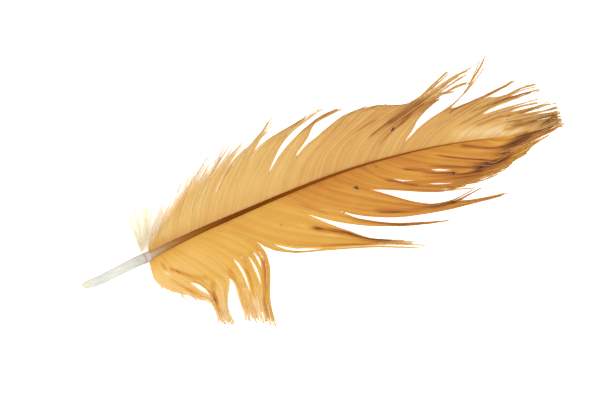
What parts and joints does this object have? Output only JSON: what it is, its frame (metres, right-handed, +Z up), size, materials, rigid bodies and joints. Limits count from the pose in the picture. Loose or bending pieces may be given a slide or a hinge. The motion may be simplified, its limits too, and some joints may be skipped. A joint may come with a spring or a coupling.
{
  "type": "chicken feather",
  "caption": "Loose chicken feather lying flat, with a bare quill, a thin arched shaft and two amber vanes parted into locks that end in frayed tips.",
  "frame": {"origin": "centre of the feather's bounding box in plan, on the surface it rests on", "axes": "+X from the quill's butt to the tip along the chord, +Y across towards the wider pale vane, +Z up, the feather's outer side facing up"},
  "size_m": [0.1503, 0.06, 0.0091],
  "materials": {
    "vane": "matte",
    "quill": "satin",
    "down": "matte",
    "speck": "matte"
  },
  "bodies": {
    "root": {"feather": "vane"}
  },
  "joints": []
}
